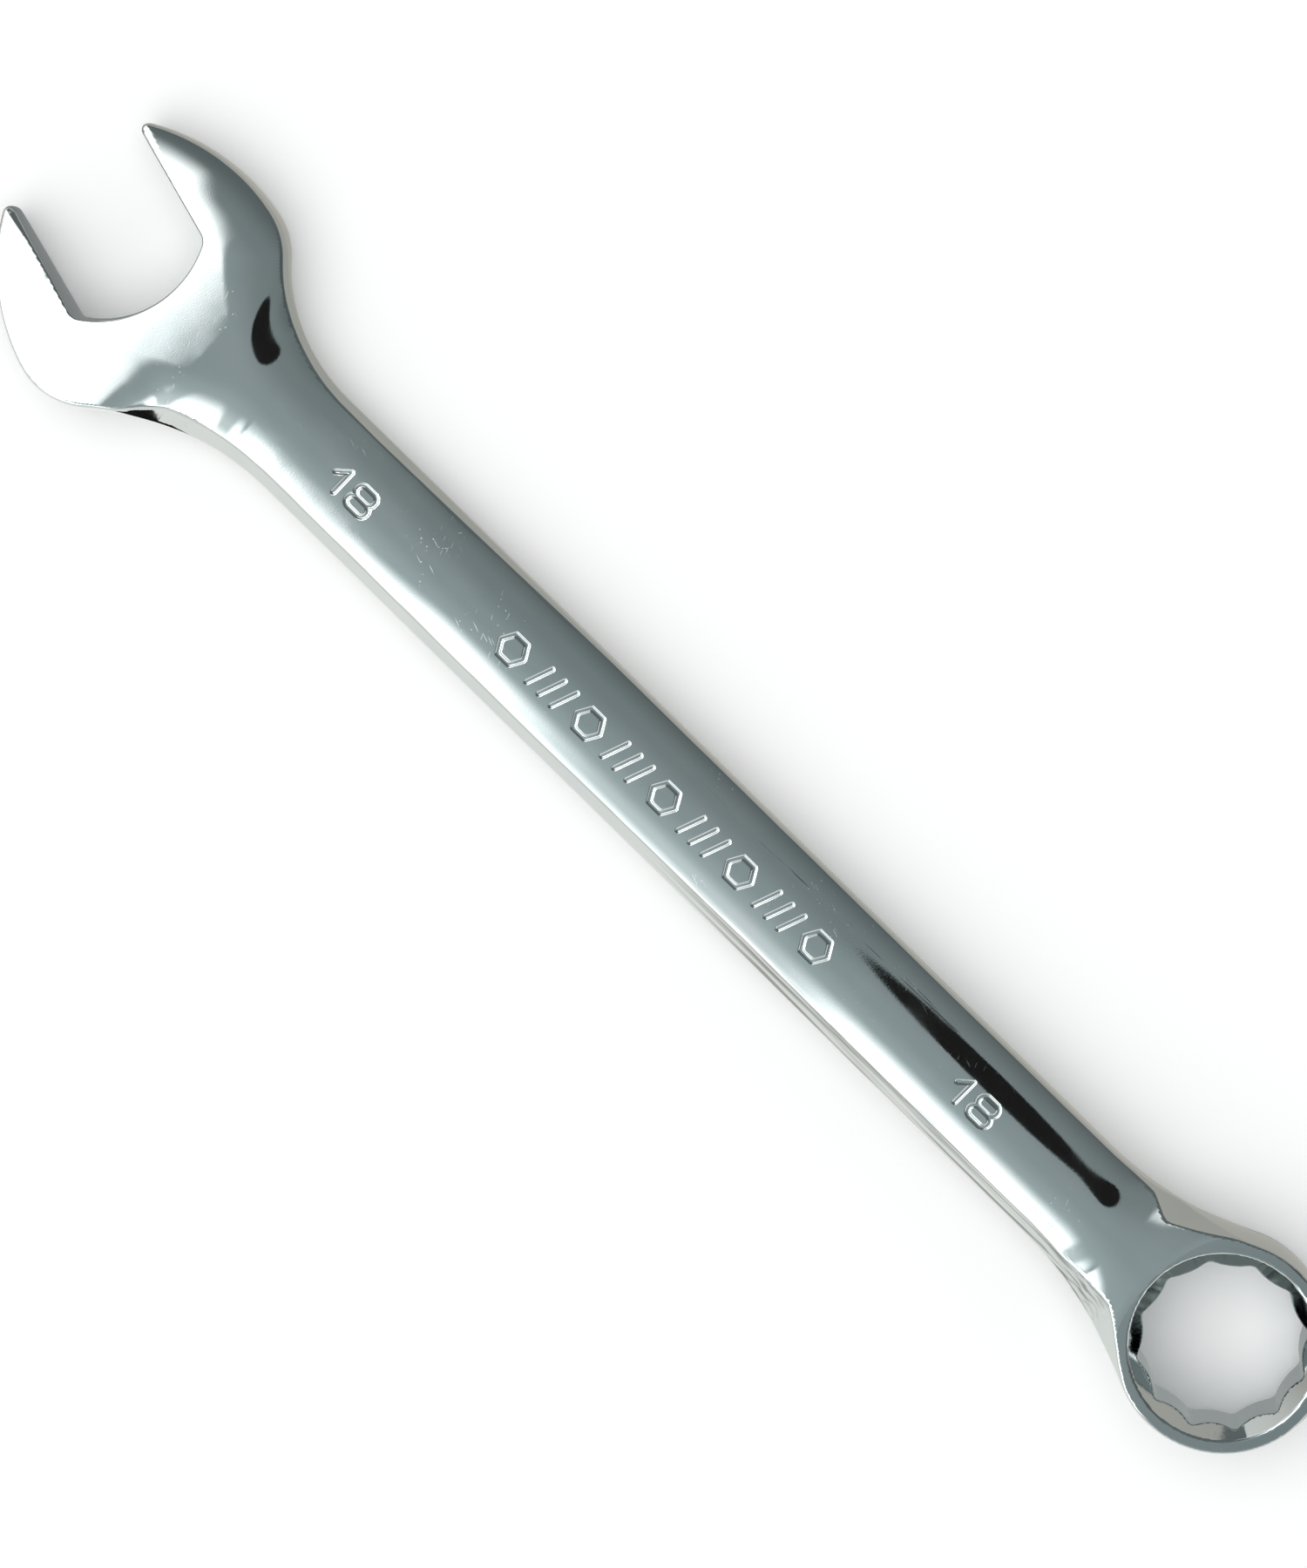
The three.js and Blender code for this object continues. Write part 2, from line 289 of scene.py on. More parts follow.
# How far in from the outer edge the face ends, seen from above: towards +Y and towards -Y.
INSET_UPPER = [
    (-88, 0.25), (-77, 0.65), (-56, 0.9), (-36, 0.6), (-17, 0.2),
    (73, 0.2), (76.5, 0.6), (79.8, 2.7), (84, 1.4), (88.5, 0.15),
]
INSET_LOWER = [
    (-82, 0.3), (-77.3, 2.3), (-64, 1.7), (-20, 1.6), (20, 1.9),
    (74, 1.7), (82, 3.2), (88, 0.9), (92, 0.1),
]
INSET_ROUNDING = 0.5  # of the corners where those lines change direction
FALL = 1.4  # how steeply the metal falls from the face's edge to the outline
FALL_EASING = 0.06  # how much gentler it grows with each mm
WIDEST_FALL = 4.0
RIDGE_ROUND = 0.25  # of the ridge where the fall begins

SHANK_HALF_THICKNESS = 3.55
HALF_THICKNESS = [  # along X, on the centre line
    (-78.6, HEAD_THICKNESS / 2), (-68.4, 3.0), (-25, SHANK_HALF_THICKNESS),
    (66, SHANK_HALF_THICKNESS + 0.4),
]
RAMP_START = 29.5  # distance from the ring's axis at which the neck's faces begin to rise
RAMP_BEND = 11.8  # length over which they grow steeper
RAMP_POWER = 4  # how late within that length they do so
RAMP_STEEPEST = 0.22
RAMP_ROUND = 0.12  # where the ramp meets the ring's flat face
RAMP_OVAL = 0.75  # share of the sideways distance, so that the ring's rim stays level

SHANK_CROWN = 1.0  # fall of the shank's faces from the centre line to the edges
SHANK_CROWN_SHARE = [(-78, 1.25), (-73, 1.2), (-62, 0.85), (-40, 1.0), (72, 1.0), (84, 0.0)]
HEAD_BEGINS = [(-80, 1.0), (-69, 0.0)]  # share of the head's crown along X, over the shank's
HEAD_CROWN = 1.1  # fall of the head's faces at their outer edge
CROWN_REACH = 8.0  # how far in from the edge it begins
TIP_ROUND = 0.6  # where the outer edge's roll-off meets the mouth's, at a tip
TIP_EASING = 0.8  # how fast the tip's roll-off fades along the jaw, in mm for each mm
LOWER_JAW_FALL = 0.75  # at the lower jaw's inner edge, where the face rolls off as well
LOWER_JAW_REACH = 8.0
LOWER_JAW_ALONG = [(-6.0, 1.0), (-0.5, 0.0)]  # along the mouth's axis, from the tip to the throat

# The lower shoulder's faces stay flat: how much so along and across the mouth's axis, and along X.
FLAT_ALONG = [(2.0, 0.0), (9.0, 1.0)]
FLAT_ACROSS = [(-8.0, 1.0), (0.0, 0.0)]
FLAT_X = [(-84.0, 1.0), (-78.0, 0.0)]

RISE_ROUND = 0.12  # share of the shank over which the parting line's rise begins and ends


def middle_height(x):
    """Height of the forging's parting line, which rises from the open end to the ring."""
    share = (x - SHANK_START) / (SHANK_END - SHANK_START)
    share = smooth_max(smooth_min(share, 1.0, RISE_ROUND), 0.0, RISE_ROUND)
    return HEAD_THICKNESS / 2 + (RING_THICKNESS - HEAD_THICKNESS) / 2 * share


def half_thickness(x, y):
    """Greatest height of the faces from the parting line."""
    from_ring = np.hypot(np.minimum(x - RING_X, 0), RAMP_OVAL * y)
    near = np.clip(RAMP_START - from_ring, 0, None)
    bent = np.minimum(near, RAMP_BEND)
    curve = RAMP_BEND / RAMP_POWER * (bent / RAMP_BEND) ** RAMP_POWER
    rise = RAMP_STEEPEST * (curve + near - bent)
    full_rise = RING_THICKNESS / 2 - HALF_THICKNESS[-1][1]
    return eased(x, HALF_THICKNESS) + smooth_min(rise, full_rise, RAMP_ROUND)


def along_mouth(x, y):
    return (x - HEAD_X) * MOUTH_AXIS[0] + (y - HEAD_Y) * MOUTH_AXIS[1]


def across_mouth(x, y):
    return (x - HEAD_X) * ACROSS_AXIS[0] + (y - HEAD_Y) * ACROSS_AXIS[1]


def face_edge(x, y, edge):
    """Distance to the outer edge, to which the mouth's edge counts as well at the jaws' tips."""
    mouth = deep_if_far(nearest(mouth_guide, x, y))
    faded = mouth - TIP_EASING * np.clip(along_mouth(x, y) - TIP_ALONG, 0, None)
    return smooth_max(edge, faded, TIP_ROUND), mouth


def face_fall(x, y, edge, mouth):
    """How far a face lies below its greatest height, above or below the parting line."""
    across = np.abs(y) / (np.abs(y) + np.maximum(-edge, 0) + 1e-9)
    shank = SHANK_CROWN * eased(x, SHANK_CROWN_SHARE) * across**2

    in_lower_jaw = eased(along_mouth(x, y), LOWER_JAW_ALONG) * (across_mouth(x, y) < 0)
    flat = eased(along_mouth(x, y), FLAT_ALONG) * eased(x, FLAT_X)
    flat = flat * eased(across_mouth(x, y), FLAT_ACROSS)
    from_edge = np.clip(1 + edge / CROWN_REACH, 0, 1) * (1 - flat)
    from_mouth = np.clip(1 - np.abs(mouth) / LOWER_JAW_REACH, 0, 1)
    head = HEAD_CROWN * from_edge**2 + LOWER_JAW_FALL * in_lower_jaw * from_mouth**2

    in_head = eased(x, HEAD_BEGINS)
    return head * in_head + shank * (1 - in_head)


def side_fall(edge, inset):
    """How far the metal falls away outside the face's edge."""
    outside = smooth_max(np.minimum(inset + edge, WIDEST_FALL), 0.0, RIDGE_ROUND)
    return outside * (FALL - FALL_EASING * outside)


# ---------------------------------------------------------------- stamped marks

STROKE_HALF_WIDTH = 0.4
STROKE_WALL = 0.27
STROKE_DEPTH = 0.15
MARK_HEIGHT = 4.1
MARK_HALF = MARK_HEIGHT / 2 - STROKE_HALF_WIDTH  # to the middle of the outermost strokes
NUMERAL_PLACES = (-53.2, 53.5)
NUTS = 5
NUT_SPACING = 13
STROKES = 3  # between one nut and the next
FIRST_STROKE = 4.0  # from a nut's centre to the foot of the stroke after it
STROKE_SPACING = 2.1
STROKE_LEAN = 1.2


def stamped(x, y):
    """Depth of the stamped marks."""
    away = np.full(np.broadcast(x, y).shape, FAR)
    for place in NUMERAL_PLACES:
        away = np.minimum(away, eighteen(x - place, y))
    away = np.minimum(away, marks_row(x, y))
    share = np.clip((STROKE_HALF_WIDTH - away) / STROKE_WALL, 0, 1)
    return STROKE_DEPTH * share * share * (3 - 2 * share)


def stroke(x, y, start, end):
    """Distance to a straight stroke."""
    step = np.array(end) - np.array(start)
    share = ((x - start[0]) * step[0] + (y - start[1]) * step[1]) / (step @ step)
    share = np.clip(share, 0, 1)
    return np.hypot(x - start[0] - share * step[0], y - start[1] - share * step[1])


def loop(x, y, centre, half_x, half_y, corner):
    """Distance to the line round a rounded box."""
    dx = np.abs(x - centre[0]) - half_x + corner
    dy = np.abs(y - centre[1]) - half_y + corner
    outside = np.hypot(np.maximum(dx, 0), np.maximum(dy, 0))
    return np.abs(outside + np.minimum(np.maximum(dx, dy), 0) - corner)


def eighteen(x, y):
    """Distance to the size number, drawn about its own centre."""
    foot = (-2.1, -MARK_HALF)
    head = (-2.1, MARK_HALF)
    flag = (-3.6, MARK_HALF - 1.3)
    one = np.minimum(stroke(x, y, foot, head), stroke(x, y, head, flag))
    upper = loop(x, y, (1.2, MARK_HALF / 2), 1.45, MARK_HALF / 2, 0.8)
    lower = loop(x, y, (1.2, -MARK_HALF / 2), 1.6, MARK_HALF / 2, 0.85)
    return np.minimum(one, np.minimum(upper, lower))


def marks_row(x, y):
    """A plain row of marks: hexagons like nuts, with slanted strokes between them."""
    away = np.full(np.broadcast(x, y).shape, FAR)
    for i in range(NUTS):
        centre = (i - (NUTS - 1) / 2) * NUT_SPACING
        away = np.minimum(away, np.abs(hexagon(x - centre, y, MARK_HALF, 0.0, 0.2)))
        if i == NUTS - 1:
            break
        for k in range(STROKES):
            foot = centre + FIRST_STROKE + STROKE_SPACING * k
            slanted = stroke(x, y, (foot, -MARK_HALF), (foot + STROKE_LEAN, MARK_HALF))
            away = np.minimum(away, slanted)
    return away


def hexagon(x, y, half_flats, turn, corner_round):
    """Distance to a hexagon, negative inside, with rounded corners."""
    best = None
    for i in range(3):
        angle = turn + math.pi / 6 + i * math.pi / 3
        away = np.abs(x * math.cos(angle) + y * math.sin(angle)) - half_flats
        best = away if best is None else smooth_max(best, away, corner_round)
    return best


# ---------------------------------------------------------------- the forging

def bore(x, y, z):
    """Distance to the twelve-point bore with its chamfers, negative inside the opening."""
    dx = x - RING_X
    first = hexagon(dx, y, BORE_HALF_FLATS, BORE_TURN, BORE_CORNER_ROUND)
    second = hexagon(dx, y, BORE_HALF_FLATS, BORE_TURN + math.pi / 6, BORE_CORNER_ROUND)
    star = smooth_min(first, second, BORE_TOOTH_ROUND)
    radius = np.hypot(dx, y)
    depth = RING_THICKNESS / 2 - np.abs(z - RING_THICKNESS / 2)
    cone = radius - BORE_MOUTH_RADIUS + BORE_CHAMFER_SLOPE * depth
    return smooth_min(star, cone / math.hypot(1, BORE_CHAMFER_SLOPE), SHARP_ROUND)


FACES_MEET_ROUND = 0.1
BARREL = [(-80, 0.3), (-60, 0.1), (76, 0.1), (90, 0.3)]  # how far the side walls bulge, along X


def forging(x, y, z):
    """The field: negative inside the metal, and about the distance from its surface in mm."""
    upper = nearest(upper_edge, x, y)
    lower = nearest(lower_edge, x, y)
    by_upper = np.abs(upper) < np.abs(lower)
    edge = deep_if_far(np.where(by_upper, upper, lower))
    rim, mouth_rim = face_edge(x, y, edge)
    mouth = nearest(mouth_edge, x, y)
    plan = np.where(np.abs(mouth) < np.abs(edge), mouth, edge)

    middle = middle_height(x)
    thickest = half_thickness(x, y)
    face = thickest - face_fall(x, y, rim, mouth_rim)
    inset_upper = straight(x, INSET_UPPER, INSET_ROUNDING)
    inset_lower = straight(x, INSET_LOWER, INSET_ROUNDING)
    above = side_fall(rim, np.where(by_upper, inset_upper, inset_lower))
    below = side_fall(rim, np.where(by_upper, inset_lower, inset_upper))
    top = middle + face - above - stamped(x, y)
    bottom = middle - face + below

    wall = plan + eased(x, BARREL) * ((z - middle) / thickest) ** 2
    faces = smooth_max(z - top, bottom - z, FACES_MEET_ROUND)
    body = smooth_max(wall, faces, EDGE_ROUND)
    return smooth_max(body, -bore(x, y, z), SHARP_ROUND)


# ---------------------------------------------------------------- laying the net

def spaced(stops):
    """Grid places from stretches of (end, spacing), starting at the first stop."""
    places = [stops[0][0]]
    for (start, _), (end, spacing) in zip(stops, stops[1:]):
        steps = max(1, round((end - start) / spacing))
        places += [start + (end - start) * (i + 1) / steps for i in range(steps)]
    return np.array(places)


def surface_net(xs, ys, zs):
    """Vertices and quads of the field's zero surface on a grid."""
    field = forging(xs[:, None, None], ys[None, :, None], zs[None, None, :])
    inside = field < 0
    grid = (xs, ys, zs)

    # One point in every cell that the surface passes through: the mean of its crossings with
    # the cell's twelve edges.
    corners = np.stack([
        inside[i:inside.shape[0] - 1 + i, j:inside.shape[1] - 1 + j, k:inside.shape[2] - 1 + k]
        for i in (0, 1) for j in (0, 1) for k in (0, 1)
    ])
    mixed = corners.any(0) & ~corners.all(0)
    number = np.full(mixed.shape, -1)
    number[mixed] = np.arange(mixed.sum())
    cells = np.argwhere(mixed)

    total = np.zeros((len(cells), 3))
    count = np.zeros(len(cells))
    quads = []
    for axis in range(3):
        others = [a for a in range(3) if a != axis]
        for i in (0, 1):
            for j in (0, 1):
                start = cells.copy()
                start[:, others[0]] += i
                start[:, others[1]] += j
                end = start.copy()
                end[:, axis] += 1
                a = field[tuple(start.T)]
                b = field[tuple(end.T)]
                crossed = (a < 0) != (b < 0)
                share = np.where(crossed, a / np.where(crossed, a - b, 1), 0)
                point = np.stack([grid[k][start[:, k]] for k in range(3)], 1)
                step = grid[axis][end[:, axis]] - grid[axis][start[:, axis]]
                point[:, axis] += share * step
                total[crossed] += point[crossed]
                count[crossed] += 1

        # One quad round every grid edge that it crosses, from the four cells that share the edge.
        low = [slice(None)] * 3
        high = [slice(None)] * 3
        low[axis] = slice(None, -1)
        high[axis] = slice(1, None)
        edges = np.argwhere(inside[tuple(low)] != inside[tuple(high)])
        around = []
        for i, j in ((-1, -1), (0, -1), (0, 0), (-1, 0)):
            cell = edges.copy()
            cell[:, others[0]] += i
            cell[:, others[1]] += j
            around.append(number[tuple(cell.T)])
        around = np.stack(around, 1)
        outward = inside[tuple(edges.T)]
        if axis == 1:
            outward = ~outward  # X then Z goes round Y the other way
        around[~outward] = around[~outward][:, ::-1]
        quads.append(around)
    return total / count[:, None], np.concatenate(quads)


SLOPE_STEP = 0.01  # over which the field's gradient is measured
SETTLE_ROUNDS = 3
LONGEST_MOVE = 0.15  # of a point in one round
LEAST_STEEPNESS = 0.2  # taken for the gradient's square, so that no point jumps


def slope(points):
    """The field and its gradient at each point."""
    value = forging(*points.T)
    gradient = np.empty_like(points)
    for axis in range(3):
        moved = points.copy()
        moved[:, axis] += SLOPE_STEP
        back = points.copy()
        back[:, axis] -= SLOPE_STEP
        gradient[:, axis] = (forging(*moved.T) - forging(*back.T)) / (2 * SLOPE_STEP)
    return value, gradient


def settle(points):
    """Draws points on to the surface and returns them with the surface's normals."""
    for _ in range(SETTLE_ROUNDS):
        value, gradient = slope(points)
        size = np.maximum((gradient**2).sum(1), LEAST_STEEPNESS)
        move = np.clip(value / size, -LONGEST_MOVE, LONGEST_MOVE)
        points = points - move[:, None] * gradient
    _, gradient = slope(points)
    return points, gradient / np.linalg.norm(gradient, axis=1)[:, None]


# Spacing of the net in mm: over the marks, over the jaws, elsewhere, and along the plain shank.
FINE, JAWS, PLAIN, COARSE = 0.12, 0.2, 0.3, 0.5

# The grid's stops; it reaches a little beyond the metal on every side.
GRID_X = [
    (-109.6, 0), (-82, JAWS), (-70, PLAIN), (-58, COARSE), (-48.5, FINE), (-30, COARSE),
    (30.2, FINE), (49, COARSE), (58, FINE), (74, COARSE), (109.6, PLAIN),
]
GRID_Y = [(-19.2, 0), (-2.4, PLAIN), (2.4, FINE), (19.2, PLAIN)]
GRID_Z = [(-0.5, 0), (12.1, PLAIN)]


def build_forging():
    """The wrench as one mesh, with normals taken from the field itself."""
    xs, ys, zs = (spaced(stops) for stops in (GRID_X, GRID_Y, GRID_Z))
    points, quads = surface_net(xs, ys, zs)
    points, normals = settle(points)

    mesh = bpy.data.meshes.new("forging")
    mesh.vertices.add(len(points))
    mesh.vertices.foreach_set("co", (points * MM).astype(np.float32).ravel())
    mesh.loops.add(len(quads) * 4)
    mesh.loops.foreach_set("vertex_index", quads.astype(np.int32).ravel())
    mesh.polygons.add(len(quads))
    mesh.polygons.foreach_set("loop_start", np.arange(0, len(quads) * 4, 4, dtype=np.int32))
    mesh.update()
    mesh.validate()
    mesh.shade_smooth()
    mesh.normals_split_custom_set_from_vertices(normals.astype(np.float32).tolist())
    wrench = bpy.data.objects.new("wrench_forging", mesh)
    bpy.context.scene.collection.objects.link(wrench)
    return wrench


# ---------------------------------------------------------------- materials

class Shade:
    """Short ways to add nodes to a material's tree and join them."""

    def __init__(self, name):
        self.material = bpy.data.materials.new(name)
        self.material.use_nodes = True
        self.tree = self.material.node_tree
        self.shader = self.tree.nodes["Principled BSDF"]
        coordinates = self.tree.nodes.new("ShaderNodeTexCoord")
        self.place = coordinates.outputs["Object"]

    def put(self, socket, value):
        if hasattr(value, "links"):
            self.tree.links.new(value, socket)
        else:
            socket.default_value = value

    def node(self, kind, inputs=(), **settings):
        made = self.tree.nodes.new("ShaderNode" + kind)
        for name, value in settings.items():
            setattr(made, name, value)
        for name, value in dict(inputs).items():
            self.put(made.inputs[name], value)
        return made

    def stretched(self, per_mm):
        """The object's own coordinates, scaled so that one unit is the given share of 1 mm."""
        scale = tuple(v / MM for v in per_mm)
        return self.node("Mapping", {"Vector": self.place, "Scale": scale}).outputs[0]

    def noise(self, per_mm, detail=3.0, roughness=0.55):
        """Smooth noise between 0 and 1; per_mm is how many waves it has in 1 mm along each axis."""
        inputs = {"Vector": self.stretched(per_mm), "Scale": 1.0}
        inputs.update({"Detail": detail, "Roughness": roughness})
        return self.node("TexNoise", inputs).outputs["Fac"]

    def ramp(self, value, low, high, to_low=0.0, to_high=1.0):
        """Eases from to_low to to_high as the value goes from low to high."""
        inputs = {"Value": value, "From Min": low, "From Max": high}
        inputs.update({"To Min": to_low, "To Max": to_high})
        return self.node("MapRange", inputs, interpolation_type="SMOOTHSTEP").outputs[0]

    def math(self, operation, first, second=0.0):
        made = self.tree.nodes.new("ShaderNodeMath")
        made.operation = operation
        self.put(made.inputs[0], first)
        self.put(made.inputs[1], second)
        return made.outputs[0]

    def bump(self, height, size, below=None):
        """A bump of that height in mm, over another normal if one is given."""
        made = self.node("Bump", {"Height": height, "Strength": 1.0, "Distance": size * MM})
        if below is not None:
            self.put(made.inputs["Normal"], below)
        return made.outputs[0]


def spots(shade, place, low, high):
    """Spots scattered over that place: 0 from a distance of low out, 1 from high in."""
    inputs = {"Vector": place, "Scale": 1.0, "Randomness": 1.0}
    near = shade.node("TexVoronoi", inputs, feature="F1").outputs["Distance"]
    return shade.ramp(near, low, high)


def scratches(shade, turn, length, width, amount):
    """Thin straight scratches, all turned about the same way: 1 inside one, 0 elsewhere."""
    rotation = (0.0, 0.0, math.radians(turn))
    scale = (1 / (length * MM), 1 / (width * MM), 1 / (length * MM))
    bent = shade.node("Mapping", {"Vector": shade.place, "Rotation": rotation}).outputs[0]
    place = shade.node("Mapping", {"Vector": bent, "Scale": scale}).outputs[0]
    return spots(shade, place, amount, amount * 0.4)


def pits(shade, spacing, size):
    """Small round pits, about spacing mm apart: 1 inside one, 0 elsewhere."""
    place = shade.stretched((1 / spacing,) * 3)
    return spots(shade, place, size / spacing, 0.4 * size / spacing)


def belt_side(shade):
    """1 on the lower side towards the ring, where the belt has left long lines, 0 elsewhere."""
    parts = shade.node("SeparateXYZ", {"Vector": shade.place})
    low = shade.ramp(parts.outputs["Y"], -5.2 * MM, -6.2 * MM)
    begun = shade.ramp(parts.outputs["X"], 0.0, 25 * MM)
    ended = shade.ramp(parts.outputs["X"], 84 * MM, 78 * MM)
    return shade.math("MULTIPLY", low, shade.math("MULTIPLY", begun, ended))


def thin_lines(shade):
    """1 in a few broken lines that the belt has left beside the upper edge, 0 elsewhere."""
    parts = shade.node("SeparateXYZ", {"Vector": shade.place})
    low = shade.ramp(parts.outputs["Y"], 4.1 * MM, 4.4 * MM)
    high = shade.ramp(parts.outputs["Y"], 5.3 * MM, 5.0 * MM)
    begun = shade.ramp(parts.outputs["X"], 0.0, 12 * MM)
    ended = shade.ramp(parts.outputs["X"], 60 * MM, 50 * MM)
    lines = shade.ramp(shade.noise((0.06, 3.2, 3.2), 2.0), 0.62, 0.66)
    across = shade.math("MULTIPLY", low, high)
    along = shade.math("MULTIPLY", begun, ended)
    return shade.math("MULTIPLY", lines, shade.math("MULTIPLY", across, along))


CHROME_COOL = (0.64, 0.685, 0.685, 1)
CHROME_WARM = (0.69, 0.72, 0.715, 1)
WORN_TINT = (0.42, 0.41, 0.39, 1)  # multiplies the chrome's colour where the belt has cut it
SMOOTHEST = 0.035  # roughness
PATCH_ROUGHNESS = 0.04  # more in hazy patches
MARK_ROUGHNESS = 0.45  # more in scratches and pits
WAVE_HEIGHT = 0.004  # in mm, as are the next two
GRAIN_HEIGHT = 0.0011
STREAK_HEIGHT = 0.03


def chrome_colour(shade, worn):
    """Chrome with faint clouds of cooler and warmer grey, darker where it is worn."""
    tone = shade.noise((0.05, 0.09, 0.09), 4.0)
    colour = shade.node("Mix", data_type="RGBA")
    shade.put(colour.inputs["Factor"], shade.ramp(tone, 0.35, 0.65))
    shade.put(colour.inputs["A"], CHROME_COOL)
    shade.put(colour.inputs["B"], CHROME_WARM)
    lined = shade.node("Mix", data_type="RGBA", blend_type="MULTIPLY")
    shade.put(lined.inputs["Factor"], worn)
    shade.put(lined.inputs["A"], colour.outputs["Result"])
    shade.put(lined.inputs["B"], WORN_TINT)
    return lined.outputs["Result"]


def chrome_roughness(shade):
    """Nearly a mirror, with hazy patches, and scratches and pits in a few places."""
    patches = shade.ramp(shade.noise((0.16, 0.3, 0.3), 5.0), 0.45, 0.75)
    rare = shade.ramp(shade.noise((0.09, 0.09, 0.09), 2.0), 0.5, 0.66)
    long_ones = scratches(shade, 20, 6.0, 0.35, 0.16)
    short_ones = scratches(shade, 66, 4.5, 0.3, 0.14)
    crossing = shade.math("MAXIMUM", long_ones, short_ones)
    marks = shade.math("MAXIMUM", crossing, pits(shade, 0.9, 0.12))
    marks = shade.math("MULTIPLY", marks, rare)
    rough = shade.math("ADD", SMOOTHEST, shade.math("MULTIPLY", patches, PATCH_ROUGHNESS))
    return shade.math("ADD", rough, shade.math("MULTIPLY", marks, MARK_ROUGHNESS))


def chrome_material():
    shade = Shade("polished_chrome")
    streaks = shade.ramp(shade.noise((0.035, 1.7, 1.7), 3.0), 0.42, 0.62)
    streaks = shade.math("MULTIPLY", streaks, belt_side(shade))
    worn = shade.math("MAXIMUM", streaks, thin_lines(shade))
    wave = shade.bump(shade.noise((0.2, 0.25, 0.25), 1.0), WAVE_HEIGHT)
    grain = shade.bump(shade.noise((7.0, 4.0, 4.0), 2.0), GRAIN_HEIGHT, wave)

    shade.put(shade.shader.inputs["Base Color"], chrome_colour(shade, worn))
    shade.put(shade.shader.inputs["Metallic"], 1.0)
    shade.put(shade.shader.inputs["Roughness"], chrome_roughness(shade))
    shade.put(shade.shader.inputs["Normal"], shade.bump(streaks, STREAK_HEIGHT, grain))
    return shade.material


def plain_material(name, colour, roughness):
    material = bpy.data.materials.new(name)
    material.use_nodes = True
    shader = material.node_tree.nodes["Principled BSDF"]
    shader.inputs["Base Color"].default_value = (*colour, 1)
    shader.inputs["Roughness"].default_value = roughness
    return material


def glow_material(name, colour, attribute=None):
    """Plain light of that colour, or of the colour in the named attribute if one is given."""
    material = bpy.data.materials.new(name)
    material.use_nodes = True
    tree = material.node_tree
    tree.nodes.clear()
    glow = tree.nodes.new("ShaderNodeEmission")
    glow.inputs["Color"].default_value = (*colour, 1)
    if attribute:
        level = tree.nodes.new("ShaderNodeAttribute")
        level.attribute_name = attribute
        tree.links.new(level.outputs["Color"], glow.inputs["Color"])
    out = tree.nodes.new("ShaderNodeOutputMaterial")
    tree.links.new(glow.outputs[0], out.inputs["Surface"])
    material.cycles.emission_sampling = "NONE"
    return material


# ---------------------------------------------------------------- stage

AIM = Vector((-2.11, -0.075, 5.0)) * MM  # the middle of the picture
CAMERA_DISTANCE = 600 * MM
CAMERA_LENS = 111.84  # mm, as is the next
CAMERA_SENSOR = 36
TILT = math.asin(0.115)  # of the line of sight, from straight down, towards +Y
TURN = math.radians(44.32)  # of the picture's upright, round the line of sight


def add_camera():
    data = bpy.data.cameras.new("camera")
    data.lens = CAMERA_LENS
    data.sensor_width = CAMERA_SENSOR
    data.clip_start = 0.01
    data.clip_end = 20
    camera = bpy.data.objects.new("camera", data)
    away = Vector((0, math.sin(TILT), math.cos(TILT)))
    along = Vector((1, 0, 0))
    across = away.cross(along)
    right = along * math.cos(TURN) + across * math.sin(TURN)
    up = across * math.cos(TURN) - along * math.sin(TURN)
    turned = Matrix((right, up, away)).transposed().to_4x4()
    camera.matrix_world = Matrix.Translation(AIM + away * CAMERA_DISTANCE) @ turned
    bpy.context.scene.collection.objects.link(camera)
    bpy.context.scene.camera = camera


# Tone of the surroundings at heights from the horizon, at 0, to straight overhead, at 1.
WORLD_TONES = [
    (0.08, (0.45, 0.44, 0.41)), (0.22, (1, 1, 0.98)), (0.45, (1, 1, 1)), (0.7, (0.3, 0.34, 0.35)),
]


def add_world():
    """Surroundings: a dim horizon, a bright belt above it and a grey studio overhead."""
    world = bpy.data.worlds.new("studio")
    bpy.context.scene.world = world
    world.use_nodes = True
    tree = world.node_tree
    background = tree.nodes["Background"]
    coordinates = tree.nodes.new("ShaderNodeTexCoord")
    parts = tree.nodes.new("ShaderNodeSeparateXYZ")
    ramp = tree.nodes.new("ShaderNodeValToRGB")
    stops = ramp.color_ramp.elements
    while len(stops) < len(WORLD_TONES):
        stops.new(0.5)
    for stop, (position, colour) in zip(stops, WORLD_TONES):
        stop.position = position
        stop.color = (*colour, 1)
    tree.links.new(coordinates.outputs["Generated"], parts.inputs[0])
    tree.links.new(parts.outputs["Z"], ramp.inputs[0])
    tree.links.new(ramp.outputs[0], background.inputs["Color"])


SKY_HEIGHT = 620
SKY_HALF = 900
SKY_SPACING = 10
BAND_LEVEL = 1.5
HEAD_LEVEL = 2.0
CLOTH_COLOUR = (0.84, 0.98, 1.0)
WARM_GREY = (0.47, 0.455, 0.42)


